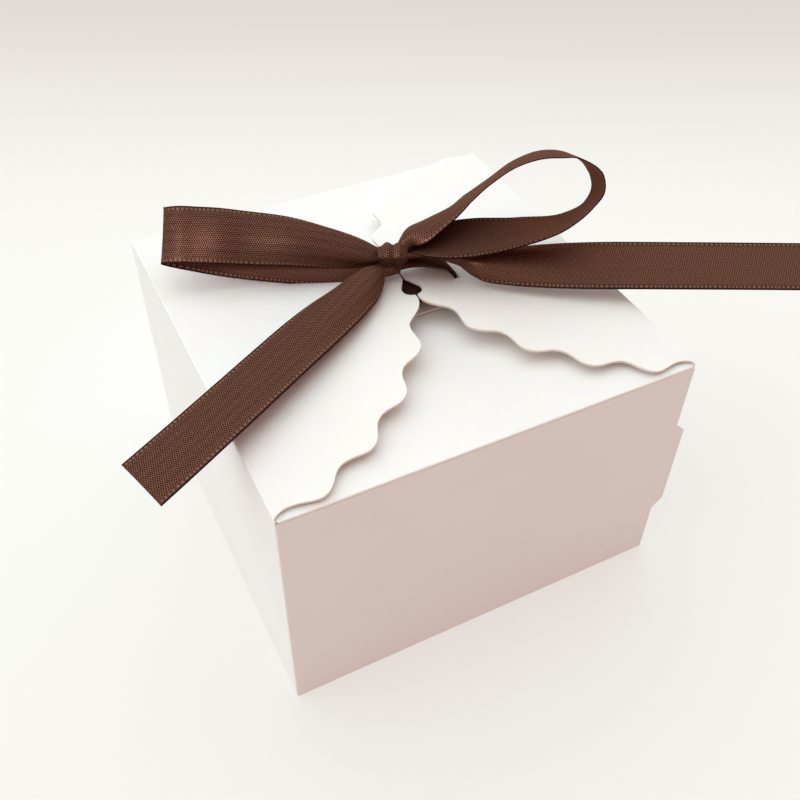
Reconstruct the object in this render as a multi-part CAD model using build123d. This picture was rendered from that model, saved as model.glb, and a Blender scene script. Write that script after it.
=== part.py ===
from build123d import *

import math
import os

# Carton, in millimetres. The origin is the middle of the base underside, and the front wall faces -Y.
box_side = 90.0  # outside width and depth
box_height = 60.0  # from the base to the creases of the left and right top flaps
card = 0.5  # card thickness
corner_round = 0.4  # outside rounding of the upright corners
crease_round = 0.35  # rounding of a top flap along its crease
layer_gap = 0.1  # room between card layers that move on each other
side_play = 0.4  # room between the end of a flap's crease and the wall beside it

# Seam at the front right corner: a wing stuck inside the right wall, and the tab cut out of it
tab_reach = 2.2  # how far the tab stands out past the corner
tab_bottom = 14.5
tab_top = 42.5
wing_width = 14.0
wing_bottom = 5.0
wing_top = 54.0
wing_taper = 6.0  # how much the wing shortens at each end towards its free edge

# Base: four flaps in a snap lock, one card layer above the other
tongue_width = 40.0
tongue_length = 14.0  # flat part of the tongue, on top of the back base flap
tongue_ramp = 7.0  # length over which the tongue climbs through the layers
tongue_corner = 4.0
front_base_reach = 49.0  # flat part of the front base flap, which carries the tongue
front_base_taper = 22.0  # length over which it narrows to the tongue
side_base_reach = 23.0  # depth of the left and right base flaps
side_base_taper = 20.0  # how much those flaps narrow at each side
back_base_reach = 47.0
lock_play = 0.8  # room beside the tongue

# Top flaps: left and right petals over the front and back flaps
flap_rise = 3.0  # height of the petal tips over their creases
meet_offset = 3.0  # the petals meet this far to the right of the middle
meet_gap = 0.4  # between the two petal tips
tip_half = 4.4  # the petals' straight tips start this far in front of the box's middle
tip_back = 12.0  # and run on behind it by this much more than in front
tip_setback = 0.45  # the lobes beside a straight tip stand back by this much
petal_power = 1.65  # roundness of the petal outline: 1 is a triangle, 2 an ellipse
lower_power = 1.08
lower_arch = 62.0  # height of the front and back flaps' outline if it ran on to a point
lower_reach = 50.4  # where it is cut off straight, past the middle of the box
front_sink = 2.2  # how far the front flap's end lies below its crease
back_sink = 0.9  # and the back flap's, which lies on the front one
lobe_count = 10  # lobes along one scalloped edge
lobe_depth = 2.6
lower_lobe_depth = 1.8  # of the front and back flaps, where they are under the petals
points_per_lobe = 4  # of the curve through a scalloped edge
plain_ends = 0.5  # lobes' worth of plain edge, shared by the two ends of a scalloped edge
lobe_growth = 0.25  # lobes' worth of edge over which the first lobe grows from the crease
outline_steps = 720  # short straight steps along which the lobes are measured out
eye_radius = 2.1  # drop-shaped hole between the petal tips
eye_tip = 4.1  # from the middle of its round part to its point
eye_y = -2.1  # the round part lies this far in front of the box's middle

# Ribbon
ribbon_width = 12.0
ribbon_thickness = 0.3
bow_x = 1.8  # middle of the knot, right of the box's middle
bow_y = 3.0  # and behind it
slit_inset = 10.7  # from a petal's tip line to its ribbon slit
slit_width = 1.3
slit_play = 1.0  # slit length beyond the strap's width
strap_width = 9.6  # the ribbon is gathered where it goes through the slits
strap_bend = 0.6  # radius where the strap turns through a slit
ribbon_gap = 0.3  # room between the ribbon and what it lies on
knot_length = 5.6
knot_radius = 3.0
knot_end_radius = 2.4
knot_band = 3.4  # length of the knot's middle, where the ribbon lies flat around it
knot_heading = 155.0  # direction of the knot's left end, in degrees from +X
gathered_width = 4.5  # ribbon width where it comes out of the knot
gather_length = 24.0  # over this length it spreads to its full width
short_gather = 10.0  # and over this length in the right loop
loop_sections = 17
loop_root = 2.1  # the loops leave the knot this far above its middle
left_loop_length = 45.6
left_loop_opening = 7.0  # twice the outgoing leg's rise off the loop's middle line
left_loop_return = 7.0  # twice the returning leg's
left_loop_heading = 151.0
left_loop_lift = 3.0
left_loop_roll = 43.0  # tilt across the ribbon's width where the loop leaves the knot
left_loop_end_roll = 43.0  # tilt at the far end of the loop
left_loop_return_roll = 30.0  # tilt of the returning leg where it meets the knot
left_loop_hold = 0.0  # share of the returning leg that still has the tilt of the far end
left_loop_turn = 1.0  # share over which it then changes to its last tilt
left_loop_slip = 2.0  # sideways offset of the returning leg at the knot
right_loop_length = 41.2
right_loop_opening = 19.6
right_loop_return = 11.5
right_loop_heading = -13.0
right_loop_lift = 15.0
right_loop_roll = 27.0
right_loop_end_roll = 46.0
right_loop_return_roll = 0.0
right_loop_hold = 0.14
right_loop_turn = 0.6
right_loop_slip = 3.0
tail_sections = 6
left_tail_length = 70.7
left_tail_heading = 207.5
left_tail_root = 1.7  # the tail leaves the knot this far below its middle
left_tail_drop = 1.2  # fall of the tail from the knot to its end
left_tail_roll = 0.0
right_tail_length = 101.7
right_tail_heading = -25.5
right_tail_root = 1.7
right_tail_drop = 1.0
right_tail_roll = -19.0  # minus: the back edge is the higher one

# Levels and places that follow from the sizes above
half = box_side / 2
inner = half - card
lower_crease = box_height - card - layer_gap  # creases of the front and back flaps, under the petals
upper_wall_top = lower_crease
lower_wall_top = lower_crease - card - layer_gap
cut_depth = 4 * card  # of a cutter that goes right through a flap
strap_top = box_height + flap_rise + ribbon_gap + ribbon_thickness
knot_z = strap_top + ribbon_gap + knot_radius
bow = Vector(bow_x, bow_y, knot_z)


def prism(points, bottom, top):
    face = make_face(Polyline(*points, close=True))
    return Pos(0, 0, bottom) * extrude(face, top - bottom)


# Walls: mitred plates inside one rounded block, butted at the front right seam
def rounded_block():
    return extrude(RectangleRounded(box_side, box_side, corner_round), box_height)


def make_walls():
    block = rounded_block()
    front = prism([(-half, -half), (half, -half), (half, -inner), (-inner, -inner)], 0, lower_wall_top)
    left = prism([(-half, -half), (-inner, -inner), (-inner, inner), (-half, half)], 0, upper_wall_top)
    back = prism([(-half, half), (-inner, inner), (inner, inner), (half, half)], 0, lower_wall_top)
    right = prism([(half, -inner), (half, half), (inner, inner), (inner, -inner)], 0, upper_wall_top)
    return front & block, left & block, back & block, right & block


def tab_outline(reach):
    points = [
        (0, tab_bottom),
        (reach, tab_bottom + reach),
        (reach, tab_top - reach),
        (0, tab_top),
    ]
    return make_face(Polyline(*points, close=True))


def make_lock_tab():
    upright = Plane(origin=(half - corner_round, -half, 0), x_dir=(1, 0, 0), z_dir=(0, -1, 0))
    return extrude(upright * tab_outline(tab_reach + corner_round), -card)


def make_seam_wing():
    upright = Plane(origin=(inner, -inner, 0), x_dir=(0, 1, 0), z_dir=(1, 0, 0))
    points = [
        (0, wing_bottom),
        (wing_width, wing_bottom + wing_taper),
        (wing_width, wing_top - wing_taper),
        (0, wing_top),
    ]
    outline = make_face(Polyline(*points, close=True)) - tab_outline(tab_reach)
    return extrude(upright * outline, -card)


# Base flaps, layer 0 lowest
def layer(number):
    return number * card


def make_front_base():
    side = inner - side_play
    tongue = tongue_width / 2
    end = front_base_reach - inner
    plate = prism([(-side, -inner), (side, -inner), (side, end - front_base_taper), (tongue, end),
                   (-tongue, end), (-side, end - front_base_taper)], layer(0), layer(1))
    upright = Plane(origin=(-tongue, end, 0), x_dir=(0, 1, 0), z_dir=(1, 0, 0))
    tip = tongue_ramp + tongue_length
    profile = [(0, layer(0)), (tongue_ramp, layer(3)), (tip, layer(3)),
               (tip, layer(4)), (tongue_ramp, layer(4)), (0, layer(1))]
    lock = extrude(upright * make_face(Polyline(*profile, close=True)), tongue_width)
    corners = lock.edges().filter_by(Axis.Z).group_by(Axis.Y)[-1]
    return plate + fillet(corners, tongue_corner)


def make_left_base():
    return prism([(-inner, -inner + side_play), (-inner + side_base_reach, -inner + side_base_taper),
                  (-inner + side_base_reach, inner - side_base_taper), (-inner, inner - side_play)],
                 layer(1), layer(2))


def make_back_base():
    side = inner - side_play
    front_edge = inner - back_base_reach
    plate = prism([(-side, inner), (-side, front_edge), (side, front_edge), (side, inner)],
                  layer(2), layer(3))
    notch_end = front_base_reach - inner + tongue_ramp + lock_play
    notch = tongue_width / 2 + lock_play
    outline = [(-notch, front_edge), (notch, front_edge), (notch, notch_end), (-notch, notch_end)]
    return plate - prism(outline, layer(2), layer(3))


# Top flaps: a superellipse outline with lobes along it, in the plane of (reach, along the crease)
def arch_points(reach, half_width, power):
    points = []
    for step in range(outline_steps + 1):
        angle = math.pi * step / outline_steps
        across = -half_width * math.copysign(abs(math.cos(angle)) ** (2 / power), math.cos(angle))
        points.append((reach * max(math.sin(angle), 0.0) ** (2 / power), across))
    return points


def half_edge(reach, half_width, power, depth):
    base = arch_points(reach, half_width, power)
    lengths = [0.0]
    for first, second in zip(base, base[1:]):
        lengths.append(lengths[-1] + math.dist(first, second))
    total = lengths[-1]
    pitch = total / (lobe_count + plain_ends)
    count = round(lobe_count / 2 * points_per_lobe)
    edge = []
    place = 0
    for number in range(count + 1):
        along = (total - pitch) / 2 * number / count
        while lengths[place + 1] < along:
            place += 1
        share = (along - lengths[place]) / (lengths[place + 1] - lengths[place])
        (u0, w0), (u1, w1) = base[place], base[place + 1]
        run = math.dist(base[place], base[place + 1])
        normal = ((w1 - w0) / run, -(u1 - u0) / run)
        fade = min(1.0, along / (lobe_growth * pitch))
        wave = -math.cos(2 * math.pi * (along - total / 2) / pitch) * fade * depth / 2
        edge.append((u0 + share * (u1 - u0) + wave * normal[0], w0 + share * (w1 - w0) + wave * normal[1]))
    edge.append((reach + tip_setback, -tip_half))
    return edge


def make_flap(reach, half_width, power, depth, back_shift):
    front = half_edge(reach, half_width, power, depth)
    back = []
    for out, across in front:
        back.append((out, back_shift * (1 - (across / half_width) ** 2) - across))
    outline = [Spline(*front), Line(front[-1], back[-1]), Spline(*back), Line(back[0], front[0])]
    plate = extrude(make_face(outline), -card)
    crease = plate.edges().filter_by(Axis.Y).group_by(Axis.Z)[-1].group_by(Axis.X)[0]
    return fillet(crease, crease_round)


def make_eye():
    touch = math.asin(eye_radius / eye_tip)
    aside = eye_radius * math.cos(touch)
    ahead = eye_radius * math.sin(touch)
    point = make_face(Polyline((-aside, ahead), (0, eye_tip), (aside, ahead), close=True))
    return Pos(0, eye_y, -cut_depth / 2) * extrude(Circle(eye_radius) + point, cut_depth)


def petal(reach):
    tilt = math.degrees(math.atan2(flap_rise, reach))
    flap = make_flap(reach - tip_setback, half - side_play, petal_power, lobe_depth, tip_back)
    flap -= Pos(reach - slit_inset, bow_y, 0) * Box(slit_width, strap_width + slit_play, cut_depth)
    flap -= Pos(reach + meet_gap / 2, 0, 0) * make_eye()
    return Pos(-half, 0, box_height) * Rot(0, -tilt, 0) * flap


def lower_flap(turn, sink):
    tilt = math.degrees(math.atan2(sink, lower_reach))
    flap = make_flap(lower_arch, inner - side_play, lower_power, lower_lobe_depth, 0)
    flap -= Pos(lower_reach + lower_arch / 2, 0, 0) * Box(lower_arch, box_side, cut_depth)
    return Pos(0, 0, lower_crease) * Rot(0, 0, turn) * Pos(-half, 0, 0) * Rot(0, tilt, 0) * flap


# Ribbon: thin strips, ruled from one cross section to the next
def direction(heading, lift=0.0):
    flat = math.cos(math.radians(lift))
    return Vector(flat * math.cos(math.radians(heading)), flat * math.sin(math.radians(heading)),
                  math.sin(math.radians(lift)))


def strip(stations):
    corners = []
    for number, (centre, across, width) in enumerate(stations):
        before = stations[max(number - 1, 0)][0]
        after = stations[min(number + 1, len(stations) - 1)][0]
        tangent = (after - before).normalized()
        square = (across - tangent * across.dot(tangent)).normalized()
        side = square * (width / 2)
        face = tangent.cross(square) * (ribbon_thickness / 2)
        upper = centre + face
        under = centre - face
        corners.append([upper + side, upper - side, under - side, under + side])
    faces = [Face(Wire.make_polygon(corners[0])), Face(Wire.make_polygon(corners[-1]))]
    for first, second in zip(corners, corners[1:]):
        for place in range(4):
            following = (place + 1) % 4
            near = Edge.make_line(first[place], second[place])
            far = Edge.make_line(first[following], second[following])
            faces.append(Face.make_surface_from_curves(near, far))
    return Solid(Shell(faces))


def spread(run, length):
    share = min(1.0, run / length)
    return gathered_width + (ribbon_width - gathered_width) * math.sin(math.pi / 2 * share)


def make_strap():
    flap_under = box_height + flap_rise - card - slit_inset * flap_rise / (half - meet_offset)
    low = flap_under - 2 * ribbon_gap - ribbon_thickness
    middle = (meet_offset, bow_y + strap_width / 2, (low + strap_top) / 2)
    upright = Plane(origin=middle, x_dir=(1, 0, 0), z_dir=(0, 1, 0))
    length = 2 * slit_inset + ribbon_thickness
    height = strap_top - low
    outside = RectangleRounded(length, height, strap_bend)
    inside = RectangleRounded(length - 2 * ribbon_thickness, height - 2 * ribbon_thickness,
                              strap_bend - ribbon_thickness)
    return extrude(upright * (outside - inside), -strap_width)


def make_knot():
    end = knot_length / 2
    band = knot_band / 2
    profile = [(-end, 0), (-end, knot_end_radius), (-band, knot_radius),
               (band, knot_radius), (end, knot_end_radius), (end, 0)]
    barrel = revolve(make_face(Polyline(*profile, close=True)), Axis.X)
    return Pos(bow) * Rot(0, 0, knot_heading) * barrel


def tilted(forward, heading, roll):
    level = direction(heading - 90)
    upward = level.cross(forward)
    return level * math.cos(math.radians(roll)) + upward * math.sin(math.radians(roll))


def make_loop(length, rises, heading, lift, rolls, hold, turn, slip, gather):
    forward = direction(heading, lift)
    roll, end_roll, return_roll = rolls
    outward = tilted(forward, heading, end_roll).cross(forward)
    reach = knot_length / 2 + 2 * ribbon_gap
    root = bow + Vector(0, 0, loop_root)
    start = 2 * math.asin(reach / (length + reach))
    stations = []
    for number in range(loop_sections):
        angle = start + (2 * math.pi - 2 * start) * number / (loop_sections - 1)
        run = (length + reach) * math.sin(angle / 2)
        gone = min(1.0, angle / math.pi)
        returned = max(0.0, angle - math.pi) / math.pi
        turned = min(1.0, max(0.0, returned - hold) / turn)
        rolled = math.sin(math.pi / 2 * turned) ** 2
        tilt = roll + (end_roll - roll) * gone + (return_roll - end_roll) * rolled
        across = tilted(forward, heading, tilt)
        rise = rises[0 if angle < math.pi else 1] / 2 * math.sin(angle)
        centre = root + forward * run + outward * rise - across * slip * returned
        stations.append((centre, across, spread(run - reach, gather)))
    return strip(stations)


def make_tail(length, heading, root_drop, drop, roll):
    forward = direction(heading)
    across = tilted(forward, heading, roll)
    reach = knot_radius + 2 * ribbon_gap
    root = bow - Vector(0, 0, root_drop)
    stations = []
    for number in range(tail_sections):
        share = number / (tail_sections - 1)
        centre = root + forward * (reach + length * share) - Vector(0, 0, drop * share**2)
        stations.append((centre, across, spread(length * share, gather_length)))
    return strip(stations)


front_wall, left_wall, back_wall, right_wall = make_walls()
left_base = make_left_base()
nodes = {
    "front_wall": front_wall + make_lock_tab(),
    "left_wall": left_wall,
    "back_wall": back_wall,
    "right_wall": right_wall,
    "seam_wing": make_seam_wing(),
    "front_base_flap": make_front_base(),
    "left_base_flap": left_base,
    "right_base_flap": mirror(left_base, Plane.YZ),
    "back_base_flap": make_back_base(),
    "left_top_flap": petal(half + meet_offset - meet_gap / 2),
    "right_top_flap": mirror(petal(half - meet_offset - meet_gap / 2), Plane.YZ),
    "front_top_flap": lower_flap(90, front_sink),
    "back_top_flap": lower_flap(-90, back_sink),
    "ribbon_strap": make_strap(),
    "bow_knot": make_knot(),
    "left_bow_loop": make_loop(left_loop_length, (left_loop_opening, left_loop_return),
                               left_loop_heading, left_loop_lift,
                               (left_loop_roll, left_loop_end_roll, left_loop_return_roll),
                               left_loop_hold, left_loop_turn, left_loop_slip, gather_length),
    "right_bow_loop": make_loop(right_loop_length, (right_loop_opening, right_loop_return),
                                right_loop_heading, right_loop_lift,
                                (right_loop_roll, right_loop_end_roll, right_loop_return_roll),
                                right_loop_hold, right_loop_turn, right_loop_slip, short_gather),
    "left_tail": make_tail(left_tail_length, left_tail_heading, left_tail_root, left_tail_drop,
                           left_tail_roll),
    "right_tail": make_tail(right_tail_length, right_tail_heading, right_tail_root, right_tail_drop,
                            right_tail_roll),
}

os.makedirs("parts", exist_ok=True)
for name, shape in nodes.items():
    export_step(shape, f"parts/{name}.step")
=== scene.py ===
import math

import bpy
import numpy as np
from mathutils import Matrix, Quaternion, Vector


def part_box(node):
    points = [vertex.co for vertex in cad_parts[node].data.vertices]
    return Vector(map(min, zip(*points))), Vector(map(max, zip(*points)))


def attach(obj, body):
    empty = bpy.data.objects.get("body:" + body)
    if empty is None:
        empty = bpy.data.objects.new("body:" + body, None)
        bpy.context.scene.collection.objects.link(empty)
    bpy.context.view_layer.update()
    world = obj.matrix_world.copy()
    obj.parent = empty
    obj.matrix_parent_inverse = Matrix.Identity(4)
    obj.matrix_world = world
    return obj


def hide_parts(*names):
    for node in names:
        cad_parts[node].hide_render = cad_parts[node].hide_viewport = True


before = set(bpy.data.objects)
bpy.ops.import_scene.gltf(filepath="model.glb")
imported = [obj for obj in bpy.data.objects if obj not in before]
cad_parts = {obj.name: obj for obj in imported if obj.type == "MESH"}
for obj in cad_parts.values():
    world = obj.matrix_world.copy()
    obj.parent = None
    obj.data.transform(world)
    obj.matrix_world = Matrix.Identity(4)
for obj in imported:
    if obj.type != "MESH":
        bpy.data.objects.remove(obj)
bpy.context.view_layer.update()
mm = 0.001
print("frame loaded:", len(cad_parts), "nodes")

bowMiddle = sum(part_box("bow_knot"), Vector()) / 2
knotMiddle = bowMiddle + Vector((-0.6, 0.5, 1.3)) * mm  # the turn of ribbon sits high on the roots of the loops


# Shader helpers

def addNode(tree, kind, **values):
    node = tree.nodes.new(kind)
    for key, value in values.items():
        setattr(node, key, value)
    return node


def plug(tree, socket, value):  # a number is set, a socket is linked
    if isinstance(value, bpy.types.NodeSocket):
        tree.links.new(value, socket)
    else:
        socket.default_value = value


def sums(tree, operation, first, second=None, third=None):
    node = addNode(tree, "ShaderNodeMath", operation=operation)
    for socket, value in zip(node.inputs, (first, second, third)):
        if value is not None:
            plug(tree, socket, value)
    return node.outputs[0]


def softStep(tree, value, low, high):  # 0 below low, 1 above high
    node = addNode(tree, "ShaderNodeMapRange", interpolation_type="SMOOTHSTEP")
    plug(tree, node.inputs["Value"], value)
    node.inputs["From Min"].default_value = low
    node.inputs["From Max"].default_value = high
    return node.outputs["Result"]


def blendColor(tree, factor, first, second):
    node = addNode(tree, "ShaderNodeMix", data_type="RGBA")
    plug(tree, node.inputs["Factor"], factor)
    plug(tree, node.inputs["A"], first)
    plug(tree, node.inputs["B"], second)
    return node.outputs["Result"]


def newGroup(name, inputs, outputs):
    group = bpy.data.node_groups.new(name, "ShaderNodeTree")
    for title, kind, value in inputs:
        socket = group.interface.new_socket(title, in_out="INPUT", socket_type=kind)
        if value is not None:
            socket.default_value = value
    for title, kind in outputs:
        group.interface.new_socket(title, in_out="OUTPUT", socket_type=kind)
    return group, group.nodes.new("NodeGroupInput").outputs, group.nodes.new("NodeGroupOutput").inputs


def newMaterial(name):
    material = bpy.data.materials.new(name)
    material.use_nodes = True
    tree = material.node_tree
    return material, tree, tree.nodes["Principled BSDF"]


def placeGroup(tree, group, **values):
    node = addNode(tree, "ShaderNodeGroup", node_tree=group)
    for title, value in values.items():
        plug(tree, node.inputs[title.replace("_", " ")], value)
    return node.outputs


def bumpInto(tree, shader, height, distance, strength):
    bump = addNode(tree, "ShaderNodeBump")
    bump.inputs["Strength"].default_value = strength
    bump.inputs["Distance"].default_value = distance
    plug(tree, bump.inputs["Height"], height)
    plug(tree, shader.inputs["Normal"], bump.outputs["Normal"])


# Card: matte white board, with faint fibres and a warmer, darker cut edge on the flaps, partly the card's core and
# partly painted shade

cardLook = {
    "white": (0.90, 0.89, 0.878, 1),
    "cloudy": (0.88, 0.868, 0.852, 1),
    "edgeCoreAndShade": (0.83, 0.79, 0.745, 1),
    "fibreScale": 1400,
    "fibreDetail": 3,
    "fibreTwist": 0.8,
    "cloudScale": 55,
    "cloudDetail": 2,
    "cloudSpan": (0.3, 0.7),
    "roughness": 0.62,
    "specular": 0.3,
    "bump": 0.10,
    "bumpDepth": 0.05 * mm,
    "upright": (0.6, 0.2),  # how far up a face still points, from the flap's surface to its cut edge
    "glow": 0.7,  # share of the light that goes into a flap and comes through it
    "glowRadius": (1.0, 0.78, 0.52),
    "glowDepth": 0.4 * mm,
}


def makeFibreGroup():
    group, given, wanted = newGroup(
        "paperFibres",
        [("Fibre Scale", "NodeSocketFloat", cardLook["fibreScale"]),
         ("Cloud Scale", "NodeSocketFloat", cardLook["cloudScale"])],
        [("Fibres", "NodeSocketFloat"), ("Clouds", "NodeSocketFloat")],
    )
    place = addNode(group, "ShaderNodeTexCoord").outputs["Object"]
    fibres = addNode(group, "ShaderNodeTexNoise")
    fibres.inputs["Detail"].default_value = cardLook["fibreDetail"]
    fibres.inputs["Distortion"].default_value = cardLook["fibreTwist"]
    plug(group, fibres.inputs["Vector"], place)
    plug(group, fibres.inputs["Scale"], given["Fibre Scale"])
    clouds = addNode(group, "ShaderNodeTexNoise")
    clouds.inputs["Detail"].default_value = cardLook["cloudDetail"]
    plug(group, clouds.inputs["Vector"], place)
    plug(group, clouds.inputs["Scale"], given["Cloud Scale"])
    plug(group, wanted["Fibres"], fibres.outputs["Fac"])
    plug(group, wanted["Clouds"], softStep(group, clouds.outputs["Fac"], *cardLook["cloudSpan"]))
    return group


def makeCard(name, fibreGroup, flapEdges):
    material, tree, shader = newMaterial(name)
    paper = placeGroup(tree, fibreGroup, Fibre_Scale=cardLook["fibreScale"], Cloud_Scale=cardLook["cloudScale"])
    color = blendColor(tree, sums(tree, "MULTIPLY", paper["Clouds"], paper["Fibres"]), cardLook["white"],
                       cardLook["cloudy"])
    if flapEdges:  # a flap's cut edge is where its own surface stands upright
        facing = addNode(tree, "ShaderNodeSeparateXYZ")
        plug(tree, facing.inputs[0], addNode(tree, "ShaderNodeTexCoord").outputs["Normal"])
        upright = softStep(tree, sums(tree, "ABSOLUTE", facing.outputs["Z"]), *cardLook["upright"])
        # the upright cut edge is warmer and darker: partly the card's core, partly painted shade between the layers
        color = blendColor(tree, upright, color, cardLook["edgeCoreAndShade"])
        shader.inputs["Subsurface Weight"].default_value = cardLook["glow"]
        shader.inputs["Subsurface Radius"].default_value = cardLook["glowRadius"]
        shader.inputs["Subsurface Scale"].default_value = cardLook["glowDepth"]
    plug(tree, shader.inputs["Base Color"], color)
    shader.inputs["Roughness"].default_value = cardLook["roughness"]
    shader.inputs["Specular IOR Level"].default_value = cardLook["specular"]
    bumpInto(tree, shader, paper["Fibres"], cardLook["bumpDepth"], cardLook["bump"])
    return material


def dressCard():
    fibreGroup = makeFibreGroup()
    wallCard = makeCard("wallCard", fibreGroup, False)
    flapCard = makeCard("flapCard", fibreGroup, True)
    for name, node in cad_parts.items():
        if name.endswith(("_wall", "_wing", "_base_flap", "_top_flap")):
            node.data.materials.clear()
            node.data.materials.append(flapCard if name.endswith("_top_flap") else wallCard)
    print("card dressed")
    return flapCard


# Corners of the front and back flaps, which fill the place where a petal's edge runs off at the crease

corner = {"size": 6.0 * mm, "sideways": 44.42 * mm, "creaseInset": 0.15 * mm, "thickness": 0.35 * mm,
          "sunk": 0.04 * mm, "card": 0.5 * mm, "bevel": 0.05 * mm}


def makeCorner(name, flap, body, side, away, material):
    low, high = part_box(flap)
    slope = math.atan2(high.z - low.z - corner["card"], high.y - low.y)
    edge = low.y if away < 0 else high.y
    half = corner["size"] / 2
    outer = Vector((side * corner["sideways"], edge - away * corner["creaseInset"], high.z - corner["sunk"]))
    bpy.ops.object.select_all(action="DESELECT")
    bpy.ops.mesh.primitive_plane_add(size=corner["size"], location=(-side * half, -away * half, 0))
    piece = bpy.context.object
    piece.name = name
    bpy.ops.object.transform_apply()
    bpy.ops.object.mode_set(mode="EDIT")
    bpy.ops.mesh.select_all(action="SELECT")
    bpy.ops.mesh.bisect(plane_co=(-side * half, -away * half, 0), plane_no=(side, away, 0), clear_inner=True)
    bpy.ops.object.mode_set(mode="OBJECT")
    piece.location = outer
    piece.rotation_euler = (away * slope, 0, 0)
    bpy.ops.object.transform_apply()
    thick = piece.modifiers.new("thickness", "SOLIDIFY")
    thick.thickness = corner["thickness"]
    bpy.ops.object.modifier_apply(modifier=thick.name)
    soft = piece.modifiers.new("softEdge", "BEVEL")
    soft.width = corner["bevel"]
    soft.segments = 2
    bpy.ops.object.modifier_apply(modifier=soft.name)
    piece.data.materials.append(material)
    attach(piece, body)


def makeCorners(material):
    for end, away in (("front", -1), ("back", 1)):
        for hand, side in (("left", -1), ("right", 1)):
            makeCorner(f"{end}_{hand}_corner", f"{end}_top_flap", f"{end}_flap", side, away, material)
    print("flap corners made")


# Ribbon cloth: brown satin with a stitched selvedge. Its UV map holds metres along and across the ribbon.

clothLook = {
    "width": 12 * mm,
    "thickness": 0.22 * mm,
    "light": (0.148, 0.069, 0.046, 1),
    "dark": (0.026, 0.011, 0.009, 1),
    "stitch": (0.250, 0.127, 0.092, 1),
    # the dark line along each edge of the ribbon: painted shade of its edge
    "edgeShade": (0.018, 0.007, 0.006, 1),
    "sheenTint": (0.75, 0.48, 0.36, 1),
    "shine": 0.30,  # share of the light that the threads send back in their own colour
    "shineTint": (0.55, 0.34, 0.25, 1),
    "ribPitch": 0.50 * mm,
    "ribSlant": 0.35,
    "ribShare": 0.85,
    "plainThread": 0.42,
    "holePitch": (0.50 * mm, 0.40 * mm),
    "holeRim": (0.48, 0.22),
    "stitchPitch": 0.95 * mm,
    "stitchInset": 0.62 * mm,
    "stitchDash": (0.32, 0.18),
    "stitchLine": (0.32 * mm, 0.12 * mm),
    "stitchHeight": 1.3,
    "edgeShadeSpan": (0.34 * mm, 0.10 * mm),
    "fieldSpan": (0.9 * mm, 1.3 * mm),
    "edging": 0.35,  # the selvedge between the stitches is darker
    "stitchSway": (1.3 * mm, 0.2),  # how the stitches bunch up and spread along the edge
    "glintScale": 2000,
    "glintSpan": (0.32, 0.68),
    "glints": 0.34,  # how much the threads differ in brightness
    "sheen": 0.10,
    "sheenRoughness": 0.4,
    "bump": 0.55,
    "bumpDepth": 0.06 * mm,
    "rimScale": 900,
    "rimRoughness": 0.7,
    "joinWithin": 0.005 * mm,  # for a ribbon that meets itself
    "smoothAngle": 40,
    "uvName": "clothPlace",
}


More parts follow.
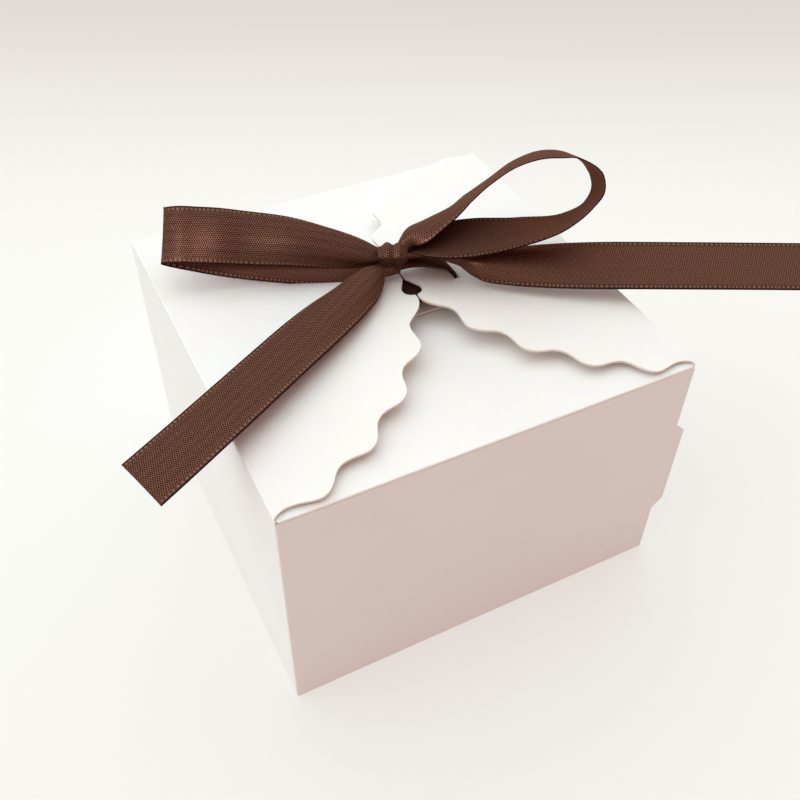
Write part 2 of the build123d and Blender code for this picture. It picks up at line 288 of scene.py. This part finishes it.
def makeWeaveGroup():
    group, given, wanted = newGroup(
        "satinWeave",
        [("Rib", "NodeSocketFloat", 0.5), ("Holes", "NodeSocketFloat", 0.5)],
        [("Thread", "NodeSocketFloat"), ("Stitch", "NodeSocketFloat"), ("EdgeShade", "NodeSocketFloat"),
         ("Height", "NodeSocketFloat")],
    )
    place = addNode(group, "ShaderNodeUVMap", uv_map=clothLook["uvName"])
    split = addNode(group, "ShaderNodeSeparateXYZ")
    plug(group, split.inputs[0], place.outputs["UV"])
    along, across = split.outputs["X"], split.outputs["Y"]

    # slanted ribs of the satin
    slanted = sums(group, "MULTIPLY_ADD", across, clothLook["ribSlant"], along)
    ribWave = sums(group, "SINE", sums(group, "MULTIPLY", slanted, 2 * math.pi / clothLook["ribPitch"]))
    rib = sums(group, "MULTIPLY_ADD", ribWave, 0.5, 0.5)

    # pinholes between the threads, every other row set over by half a step
    holeLong, holeWide = clothLook["holePitch"]
    row = sums(group, "MULTIPLY", across, 1 / holeWide)
    odd = sums(group, "MODULO", sums(group, "FLOOR", row), 2.0)
    column = sums(group, "MULTIPLY_ADD", odd, 0.5, sums(group, "MULTIPLY", along, 1 / holeLong))
    fromColumn = sums(group, "SUBTRACT", sums(group, "FRACT", column), 0.5)
    fromRow = sums(group, "MULTIPLY", sums(group, "SUBTRACT", sums(group, "FRACT", row), 0.5), holeWide / holeLong)
    away = sums(group, "SQRT", sums(group, "ADD", sums(group, "MULTIPLY", fromColumn, fromColumn),
                                    sums(group, "MULTIPLY", fromRow, fromRow)))
    hole = softStep(group, away, *clothLook["holeRim"])

    # threads that catch more or less light
    glint = addNode(group, "ShaderNodeTexNoise")
    glint.inputs["Scale"].default_value = clothLook["glintScale"]
    glint.inputs["Detail"].default_value = 1
    plug(group, glint.inputs["Vector"], place.outputs["UV"])
    spark = softStep(group, glint.outputs["Fac"], *clothLook["glintSpan"])
    spread = sums(group, "MULTIPLY_ADD", spark, clothLook["glints"], 1 - clothLook["glints"] / 2)

    # selvedge: stitches a little inside the edge, and a dark line along the edge, painted shade of the ribbon's edge
    inset = sums(group, "MINIMUM", across, sums(group, "SUBTRACT", clothLook["width"], across))
    sway = sums(group, "MULTIPLY", sums(group, "SINE", sums(group, "MULTIPLY", along, 1 / clothLook["stitchSway"][0])),
                clothLook["stitchSway"][1])
    beat = sums(group, "FRACT", sums(group, "MULTIPLY_ADD", along, 1 / clothLook["stitchPitch"], sway))
    fromBeat = sums(group, "ABSOLUTE", sums(group, "SUBTRACT", beat, 0.5))
    dash = softStep(group, fromBeat, *clothLook["stitchDash"])
    fromLine = sums(group, "ABSOLUTE", sums(group, "SUBTRACT", inset, clothLook["stitchInset"]))
    line = softStep(group, fromLine, *clothLook["stitchLine"])
    stitch = sums(group, "MULTIPLY", dash, line)
    edgeShade = softStep(group, inset, *clothLook["edgeShadeSpan"])
    field = softStep(group, inset, *clothLook["fieldSpan"])

    ribPart = sums(group, "MULTIPLY", rib, given["Rib"])
    holePart = sums(group, "MULTIPLY", sums(group, "MULTIPLY", hole, given["Holes"]), field)
    ribbed = sums(group, "MULTIPLY_ADD", ribPart, clothLook["ribShare"], clothLook["plainThread"])
    cloth = sums(group, "SUBTRACT", ribbed, holePart)
    edging = sums(group, "MULTIPLY_ADD", field, 1 - clothLook["edging"], clothLook["edging"])
    thread = sums(group, "MULTIPLY", sums(group, "MULTIPLY", cloth, spread), edging)
    height = sums(group, "MULTIPLY_ADD", stitch, clothLook["stitchHeight"],
                  sums(group, "SUBTRACT", ribPart, holePart))
    for title, value in (("Thread", thread), ("Stitch", stitch), ("EdgeShade", edgeShade), ("Height", height)):
        plug(group, wanted[title], value)
    return group


def makeCloth(name, weaveGroup, rib, holes, roughness, brightness):
    material, tree, shader = newMaterial(name)
    weave = placeGroup(tree, weaveGroup, Rib=rib, Holes=holes)
    light = [channel * brightness for channel in clothLook["light"][:3]] + [1]
    color = blendColor(tree, weave["Thread"], clothLook["dark"], light)
    color = blendColor(tree, weave["Stitch"], color, clothLook["stitch"])
    # painted shade: a dark line along each edge of the ribbon
    color = blendColor(tree, weave["EdgeShade"], color, clothLook["edgeShade"])
    plug(tree, shader.inputs["Base Color"], color)
    shader.inputs["Roughness"].default_value = roughness
    shader.inputs["Metallic"].default_value = clothLook["shine"]
    shader.inputs["Specular IOR Level"].default_value = 0
    shader.inputs["Specular Tint"].default_value = clothLook["shineTint"]
    shader.inputs["Sheen Weight"].default_value = clothLook["sheen"]
    shader.inputs["Sheen Roughness"].default_value = clothLook["sheenRoughness"]
    shader.inputs["Sheen Tint"].default_value = clothLook["sheenTint"]
    bumpInto(tree, shader, weave["Height"], clothLook["bumpDepth"], clothLook["bump"])
    return material


weaveGroup = makeWeaveGroup()
satinFace = makeCloth("satinFace", weaveGroup, rib=0.60, holes=0.35, roughness=0.38, brightness=1.62)
wovenBack = makeCloth("wovenBack", weaveGroup, rib=0.45, holes=0.85, roughness=0.38, brightness=2.4)
# a darker copy of the cloth: painted shade for ribbon lying in the shadow of the bow
shadedFold = makeCloth("shadedFold", weaveGroup, rib=0.40, holes=0.20, roughness=0.50, brightness=0.70)
# the ribbon's thin rim is near black: painted shade of its edge
ribbonRim, rimTree, rimShader = newMaterial("ribbonRim")
rimNoise = addNode(rimTree, "ShaderNodeTexNoise")
rimNoise.inputs["Scale"].default_value = clothLook["rimScale"]
plug(rimTree, rimNoise.inputs["Vector"], addNode(rimTree, "ShaderNodeTexCoord").outputs["Object"])
plug(rimTree, rimShader.inputs["Base Color"],
     blendColor(rimTree, rimNoise.outputs["Fac"], clothLook["edgeShade"], clothLook["dark"]))
rimShader.inputs["Roughness"].default_value = clothLook["rimRoughness"]
rimShader.inputs["Specular IOR Level"].default_value = 0
print("cloth made")


# Ribbon pieces: a flat grid is laid along a route, then given its thickness

def direction(heading, lift=0.0):
    flat = math.cos(math.radians(lift))
    return Vector((flat * math.cos(math.radians(heading)), flat * math.sin(math.radians(heading)),
                   math.sin(math.radians(lift))))


def tilted(forward, heading, roll):
    level = direction(heading - 90)
    upward = level.cross(forward)
    return level * math.cos(math.radians(roll)) + upward * math.sin(math.radians(roll))


def routeLength(centre, steps=240):
    places = [centre(number / steps) for number in range(steps + 1)]
    return sum((after - before).length for before, after in zip(places, places[1:]))


def layGrid(name, place, flat, steps, sides, closed=False):
    bpy.ops.object.select_all(action="DESELECT")
    bpy.ops.mesh.primitive_grid_add(x_subdivisions=steps[0], y_subdivisions=steps[1], size=1)
    piece = bpy.context.object
    piece.name = name
    mesh = piece.data
    mesh.uv_layers[0].name = clothLook["uvName"]
    shares = [(vertex.co.x + 0.5, vertex.co.y + 0.5) for vertex in mesh.vertices]
    for meshCorner, uv in zip(mesh.loops, mesh.uv_layers[0].uv):
        share, across = shares[meshCorner.vertex_index]
        uv.vector = (share * flat[1], across * flat[0])
    for vertex, (share, across) in zip(mesh.vertices, shares):
        vertex.co = place(share, across)
    if closed:
        bpy.ops.object.mode_set(mode="EDIT")
        bpy.ops.mesh.select_all(action="SELECT")
        bpy.ops.mesh.remove_doubles(threshold=clothLook["joinWithin"])
        bpy.ops.object.mode_set(mode="OBJECT")
    for side in sides:
        mesh.materials.append(side)
    mesh.materials.append(ribbonRim)
    thick = piece.modifiers.new("thickness", "SOLIDIFY")
    thick.thickness = clothLook["thickness"]
    thick.offset = 0
    thick.material_offset = 1
    thick.material_offset_rim = 2
    bpy.ops.object.modifier_apply(modifier=thick.name)
    bpy.ops.object.shade_smooth_by_angle(angle=math.radians(clothLook["smoothAngle"]))
    return piece


def onRoute(centre, acrossAt, section):  # turns a centre line into places on the ribbon
    step = 0.004

    def place(share, across):
        before, after = max(share - step, 0), min(share + step, 1)
        along = (centre(after) - centre(before)).normalized()
        side = acrossAt(share)
        aside, out = section(share, across)
        return centre(share) + side * aside + along.cross(side).normalized() * out

    return place


def throughStations(rows):  # a smooth value for every share of the way along a list of stations
    rows = np.array(rows, dtype=float)
    steps = np.hypot(np.diff(rows[:, 0]), np.diff(rows[:, 1]))
    stops = np.concatenate(([0], np.cumsum(steps))) / steps.sum()
    slopes = np.gradient(rows, stops, axis=0)

    def valueAt(share):
        number = min(int(np.searchsorted(stops, share, side="right")) - 1, len(stops) - 2)
        span = stops[number + 1] - stops[number]
        part = (share - stops[number]) / span
        eased = part * part * (3 - 2 * part)
        bulge = part * (1 - part) * span
        return (rows[number] * (1 - eased) + rows[number + 1] * eased
                + bulge * ((1 - part) * slopes[number] - part * slopes[number + 1]))

    return valueAt


def settle(piece, node, restsOn=()):
    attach(piece, "ribbon")
    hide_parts(node)
    list(restsOn)


gathers = {"chord": 0.42, "narrow": 0.5, "narrowLength": 8 * mm, "pleats": 2.5, "pleatDepth": 0.25 * mm,
           "pleatFade": 6 * mm, "flattest": 0.9995}


def opening(run, length):  # 0 in the knot, 1 where the ribbon has opened
    return 1 - (1 - min(1.0, max(0.0, run / length))) ** 3


def archSpot(chord, across, width=clothLook["width"]):  # sideways and down on an arch that keeps its length
    chord = min(chord, gathers["flattest"])
    bend = math.sqrt(10 - math.sqrt(100 - 120 * (1 - chord)))  # from the series of sin(bend) / bend
    radius = width / (2 * bend)
    turn = 2 * bend * (across - 0.5)
    return radius * math.sin(turn), radius * (1 - math.cos(turn))


def gatheredSpot(run, length, across):  # the arch of the ribbon this far out of the knot, with its small pleats
    chord = gathers["chord"] + (1 - gathers["chord"]) * opening(run, length)
    width = clothLook["width"] * (gathers["narrow"] + (1 - gathers["narrow"]) * opening(run, gathers["narrowLength"]))
    aside, drop = archSpot(chord, across, width)
    depth = gathers["pleatDepth"] * math.exp(-max(run, 0) / gathers["pleatFade"])
    return aside, drop, depth * math.cos(2 * math.pi * gathers["pleats"] * (across - 0.5))


# Loops of the bow. Each station is how far out along the loop's heading, how far off it in the loop's own plane and
# across the ribbon (mm), and the ribbon's swing and roll there (degrees)

leftLoop = {
    "name": "left_loop_ribbon", "node": "left_bow_loop", "heading": 151, "lift": 3, "plane": 43,
    "gathers": (54 * mm, 45 * mm), "arches": (1.0, -0.8), "steps": (220, 36),
    "stations": [(1, -0.8, 0, 0, 43), (12, 2.0, 1.0, 0, 43), (20, 3.3, 1.3, 0, 43), (31, 2.7, 1.3, 0, 43),
                 (36, 3.3, 1.1, 0, 43), (41.5, 2.4, 1.0, 0, 43), (44.5, 2.1, 0.9, 0, 43), (48.2, 0, 0.7, 0, 43),
                 (40, -2.8, -0.2, 0, 41), (26, -3.4, -1.0, 0, 37), (12, -2.6, -1.4, 0, 32), (1, -1.6, -0.6, 0, 30)],
}
rightLoop = {
    "name": "right_loop_ribbon", "node": "right_bow_loop", "heading": -13, "lift": 15, "plane": 46,
    "gathers": (18 * mm, 16 * mm), "arches": (1.0, 0.4), "steps": (220, 36),
    "stations": [(1.5, 1.6, 0, -9, 16), (4.5, 4.1, 0, -9, 18), (9, 4.6, 0, -9, 20), (16, 5.4, 0, -10, 24),
                 (24, 7.9, 0, -14, 28), (31, 9.7, 0, -18, 24), (37, 9.5, 0, -21, 22), (41, 8.0, 0, -24, 24),
                 (43.6, 6.3, 0, -25, 30), (46, 2.4, 0, -12, 31), (45.3, -1.5, 0, -12, 28), (42.3, -3.9, 0, -16, 27),
                 (37, -5.3, 0, -16, 20), (27, -4.3, 0, -14, 5), (14, -1.5, 0, -9, -6), (2, -0.9, 0, -12, 16)],
}


def makeLoop(loop):
    forward = direction(loop["heading"], loop["lift"])
    outward = tilted(forward, loop["heading"], loop["plane"]).cross(forward)
    valueAt = throughStations(loop["stations"])

    def acrossAt(share):
        swing, roll = valueAt(share)[3:]
        return direction(loop["heading"] - 90 + swing, roll)

    def centre(share):
        run, aside, slip = (value * mm for value in valueAt(share)[:3])
        return knotMiddle + forward * run + outward * aside + acrossAt(share) * slip

    def section(share, across):
        leg = 0 if share < 0.5 else 1
        run = valueAt(share)[0] * mm - knot["halfLong"]
        aside, drop, pleat = gatheredSpot(run, loop["gathers"][leg], across)
        return aside, drop * loop["arches"][leg] + pleat

    flat = (clothLook["width"], routeLength(centre))
    piece = layGrid(loop["name"], onRoute(centre, acrossAt, section), flat, loop["steps"], (satinFace, wovenBack))
    settle(piece, loop["node"])
    print(loop["name"], "flat", [round(size / mm, 1) for size in flat])


# Tails: arched where they come out of the knot, then flat on the petals

leftTail = {"name": "left_tail_ribbon", "node": "left_tail", "length": 70.7 * mm, "heading": 207.5, "root": 1.7 * mm,
            "drop": 1.2 * mm, "roll": 0, "hold": 0, "gather": 30 * mm, "aside": 1.7 * mm,
            "asideLength": 70.7 * mm, "slant": 2.3 * mm,
            "sides": ("satinFace", "wovenBack"),
            "restsOn": ["left_top_flap"]}
rightTail = {"name": "right_tail_ribbon", "node": "right_tail", "length": 101.7 * mm, "heading": -25.5,
             "root": 0.9 * mm, "drop": 1.0 * mm, "roll": -19, "hold": 10 * mm, "gather": 38 * mm,
             "aside": -4.5 * mm, "asideLength": 16 * mm, "slant": 0,
             "sides": ("wovenBack", "satinFace"),
             "restsOn": ["right_top_flap"]}
tailRoot = {"reach": 3.6 * mm, "tuck": 3.2 * mm, "crown": 0.8, "steps": (180, 36)}


def makeTail(tail):
    forward = direction(tail["heading"])
    level = tilted(forward, tail["heading"], tail["roll"])
    root = bowMiddle - Vector((0, 0, tail["root"]))
    whole = tail["length"] + tailRoot["tuck"]

    def runAt(share):
        return whole * share - tailRoot["tuck"]

    def centre(share):
        run = runAt(share)
        fall = tail["drop"] * (max(run, 0) / tail["length"]) ** 2
        back = max(0.0, 1 - max(run, 0) / tail["asideLength"])
        held = min(1.0, 1 + run / tailRoot["tuck"])  # inside the knot the tails come together
        aside = tail["aside"] * back * back * (3 - 2 * back) * held
        return root + forward * (tailRoot["reach"] + run) + level * aside - Vector((0, 0, fall))

    def section(share, across):
        run = runAt(share) - tail["hold"]
        aside, drop, pleat = gatheredSpot(run, tail["gather"], across)
        crown = gatheredSpot(run, tail["gather"], 0)[1] * tailRoot["crown"]  # the middle stands up, the edges stay low
        return aside, drop - crown + pleat

    laid = onRoute(centre, lambda share: level, section)

    def place(share, across):  # the end is cut on the slant
        return laid(share * (1 - tail["slant"] / whole * across), across)

    flat = (clothLook["width"], routeLength(centre))
    sides = [bpy.data.materials[side] for side in tail["sides"]]
    piece = layGrid(tail["name"], place, flat, tailRoot["steps"], sides)
    settle(piece, tail["node"], tail["restsOn"])
    print(tail["name"], "flat", [round(size / mm, 1) for size in flat])


# Knot: one turn of ribbon round the roots of the loops, its two edges rolled under

knot = {"halfLong": 2.45 * mm, "roll": 0.35 * mm, "radius": 2.6 * mm, "endDrop": 0.35 * mm, "heading": 155,
        "ridge": 0.32 * mm, "ridgeSway": 0.5, "leanShare": 0.12, "facets": 3, "facet": 0.09, "facetTurn": 138,
        "shadeTurns": (150, 290), "steps": (96, 48)}


def knotSection(across):  # along the axis, and outwards, over one half of the ribbon's width
    run = abs(across - 0.5) * clothLook["width"]
    side = math.copysign(1, across - 0.5)
    fold = run - knot["halfLong"]
    if fold <= 0:
        aside, out = run, 0.0
    elif fold < math.pi * knot["roll"]:
        turn = fold / knot["roll"]
        aside, out = knot["halfLong"] + knot["roll"] * math.sin(turn), knot["roll"] * (math.cos(turn) - 1)
    else:
        aside, out = knot["halfLong"] - (fold - math.pi * knot["roll"]), -2 * knot["roll"]
    return side * aside, out


def makeKnot():
    axis = direction(knot["heading"])
    level = direction(knot["heading"] - 90)
    upward = Vector((0, 0, 1))

    def place(share, across):
        turn = 2 * math.pi * share
        aside, out = knotSection(across)
        part = aside / knot["halfLong"]
        ridge = -knot["ridge"] * math.cos(2 * math.pi * part + knot["ridgeSway"] * math.sin(turn))
        facet = knot["facet"] * math.cos(knot["facets"] * (turn - math.radians(knot["facetTurn"])))
        radius = knot["radius"] * (1 + facet) + out + ridge - knot["endDrop"] * part ** 2
        lean = knot["leanShare"] * aside * math.sin(turn)
        return (knotMiddle + axis * (aside + lean) + level * (radius * math.cos(turn))
                + upward * (radius * math.sin(turn)))

    flat = (clothLook["width"], 2 * math.pi * knot["radius"])
    piece = layGrid("knot_ribbon", place, flat, knot["steps"], (satinFace, wovenBack), closed=True)
    piece.data.materials.append(shadedFold)
    for face in piece.data.polygons:  # the lower turn of the knot, which faces away from the light, gets the dark cloth as painted shade
        out = face.center - knotMiddle
        turn = math.degrees(math.atan2(out.dot(upward), out.dot(level))) % 360
        if knot["shadeTurns"][0] < turn < knot["shadeTurns"][1]:
            face.material_index = len(piece.data.materials) - 1
    settle(piece, "bow_knot")
    print("knot made")


# Strap: the stretch of ribbon through the two slits, which shows on the petals beside the knot and in the eye

strap = {"width": 9.6 * mm, "bend": 0.5 * mm, "knotChord": 0.4, "pinch": 0.45, "rise": 0.55, "knotRise": 1.2 * mm,
         "knotShift": 1.0 * mm, "underShift": -1.6 * mm, "steps": (160, 16)}


def makeStrap():
    low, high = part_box("ribbon_strap")
    middle = (low + high) / 2
    halfLong = (high.x - low.x) / 2 - clothLook["thickness"] / 2
    halfHigh = (high.z - low.z) / 2 - clothLook["thickness"] / 2
    bend = strap["bend"]
    straightLong, straightHigh = halfLong - bend, halfHigh - bend
    arc = math.pi * bend / 2
    runs = [2 * straightLong, arc, 2 * straightHigh, arc]
    around = 2 * sum(runs)

    def ring(share):  # x and z on a flat rounded ring, from the top left
        run = share * around
        flip = 1
        if run > around / 2:
            run -= around / 2
            flip = -1
        if run < runs[0]:
            return Vector((-straightLong + run, halfHigh)) * flip
        run -= runs[0]
        if run < arc:
            turn = run / bend
            return Vector((straightLong + bend * math.sin(turn), straightHigh + bend * math.cos(turn))) * flip
        run -= arc
        if run < runs[2]:
            return Vector((halfLong, straightHigh - run)) * flip
        turn = (run - runs[2]) / bend
        return Vector((straightLong + bend * math.cos(turn), -straightHigh - bend * math.sin(turn))) * flip

    def place(share, across):
        spot = ring(share)
        inward = 1 - (spot.x / halfLong) ** 2  # 0 in the slits, 1 below the knot
        over = max(0.0, spot.y / halfHigh) * inward
        under = max(0.0, -spot.y / halfHigh) * inward
        width = clothLook["width"] * (1 - strap["pinch"] * over)
        slitChord = strap["width"] / clothLook["width"]
        aside, drop = archSpot(slitChord + (strap["knotChord"] - slitChord) * over, across, width)
        aside = aside * (1 - under) + clothLook["width"] * (across - 0.5) * under
        aside += strap["underShift"] * under + strap["knotShift"] * over
        crown = archSpot(strap["knotChord"], 0, width)[1]
        lift = ((crown - drop) * strap["rise"] + strap["knotRise"] * over) * over
        return Vector((middle.x + spot.x, middle.y + aside, middle.z + spot.y + lift))

    flat = (clothLook["width"], around)
    # both sides of the strap get the dark cloth: painted shade from the knot, loop and tail over it
    piece = layGrid("strap_ribbon", place, flat, strap["steps"], (shadedFold, shadedFold), closed=True)
    settle(piece, "ribbon_strap", ["left_top_flap", "right_top_flap"])
    print("strap made, flat", [round(size / mm, 1) for size in flat])


# Stage: pale floor, soft light from above and behind, and the photograph's camera

stage = {
    "floor": (0.45, 0.445, 0.435, 1),
    "floorGlow": (0.450, 0.450, 0.430, 1),  # halves the shadow on the floor
    "floorFarShade": (0.235, 0.18, 0.16, 1),
    "farWay": Vector((0.458, 0.889, 0)),
    "farSpan": (0.08, 0.34),
    "floorSize": 4.0,
    "floorDrop": 0.05 * mm,
    "floorRoughness": 0.8,
    "floorSpecular": 0.1,
    "behind": (1.45, 1.57, 1.55, 1),  # light from the upper left at the back
    "front": (0.33, 0.04, 0.00, 1),  # and from the front, where it is dimmest
    "lightFrom": Vector((-0.12, 0.60, 0.79)),
    "lightSpan": (0.0, 0.7),
    "backdrop": (0.93, 0.92, 0.90, 1),
    "bounces": 12,  # white card passes light on many times
    "shine": {"place": (-1.35, -0.37, 1.2), "size": 0.4, "power": 20},  # seen only as a shine on the satin
}

view = {
    "target": Vector((0.975, -1.381, 30.0)) * mm,
    "distance": 223.68 * mm,
    "azimuth": -27.27,
    "elevation": 44.87,
    "roll": 0.874,
    "lens": 42.77,
    "sensor": 36.0,
    "clipStart": 5 * mm,
}


def makeStage():
    bpy.ops.object.select_all(action="DESELECT")
    bpy.ops.mesh.primitive_plane_add(size=stage["floorSize"], location=(0, 0, -stage["floorDrop"]))
    floor = bpy.context.object
    floor.name = "paleFloor"
    material, tree, shader = newMaterial("paleFloor")
    shader.inputs["Base Color"].default_value = stage["floor"]
    distance = addNode(tree, "ShaderNodeVectorMath", operation="DOT_PRODUCT")
    plug(tree, distance.inputs[0], addNode(tree, "ShaderNodeTexCoord").outputs["Object"])
    distance.inputs[1].default_value = stage["farWay"]
    # the floor's glow dims towards the far side: painted shade
    far = softStep(tree, distance.outputs["Value"], *stage["farSpan"])
    plug(tree, shader.inputs["Emission Color"], blendColor(tree, far, stage["floorGlow"], stage["floorFarShade"]))
    shader.inputs["Emission Strength"].default_value = 1
    shader.inputs["Roughness"].default_value = stage["floorRoughness"]
    shader.inputs["Specular IOR Level"].default_value = stage["floorSpecular"]
    floor.data.materials.append(material)
    world = bpy.data.worlds.new("softSky")
    world.use_nodes = True
    tree = world.node_tree
    toward = addNode(tree, "ShaderNodeVectorMath", operation="DOT_PRODUCT")
    plug(tree, toward.inputs[0], addNode(tree, "ShaderNodeTexCoord").outputs["Generated"])
    toward.inputs[1].default_value = stage["lightFrom"]
    share = softStep(tree, toward.outputs["Value"], *stage["lightSpan"])
    sky = blendColor(tree, share, stage["front"], stage["behind"])
    rays = addNode(tree, "ShaderNodeLightPath").outputs
    seen = sums(tree, "MAXIMUM", rays["Is Camera Ray"],
                sums(tree, "MAXIMUM", rays["Is Glossy Ray"], rays["Is Transmission Ray"]))
    plug(tree, tree.nodes["Background"].inputs["Color"], blendColor(tree, seen, sky, stage["backdrop"]))
    bpy.context.scene.world = world
    shine = stage["shine"]
    bpy.ops.object.light_add(type="AREA", location=shine["place"])
    lamp = bpy.context.object
    lamp.data.size = shine["size"]
    lamp.data.energy = shine["power"]
    lamp.rotation_euler = (-Vector(shine["place"])).to_track_quat("-Z", "Y").to_euler()
    lamp.visible_diffuse = False
    bpy.context.scene.cycles.diffuse_bounces = stage["bounces"]
    bpy.context.scene.view_settings.view_transform = "Standard"
    print("stage set")


def makeCamera():
    azimuth, elevation = math.radians(view["azimuth"]), math.radians(view["elevation"])
    back = Vector((math.sin(azimuth) * math.cos(elevation), -math.cos(azimuth) * math.cos(elevation),
                   math.sin(elevation)))
    bpy.ops.object.camera_add(location=view["target"] + back * view["distance"])
    camera = bpy.context.object
    camera.rotation_mode = "QUATERNION"
    turn = Quaternion((0, 0, 1), math.radians(view["roll"]))
    camera.rotation_quaternion = (-back).to_track_quat("-Z", "Y") @ turn
    camera.data.lens = view["lens"]
    camera.data.sensor_width = view["sensor"]
    camera.data.clip_start = view["clipStart"]
    bpy.context.scene.camera = camera
    print("camera set")


makeCorners(dressCard())
for loop in (leftLoop, rightLoop):
    makeLoop(loop)
for tail in (leftTail, rightTail):
    makeTail(tail)
makeKnot()
makeStrap()
makeStage()
makeCamera()
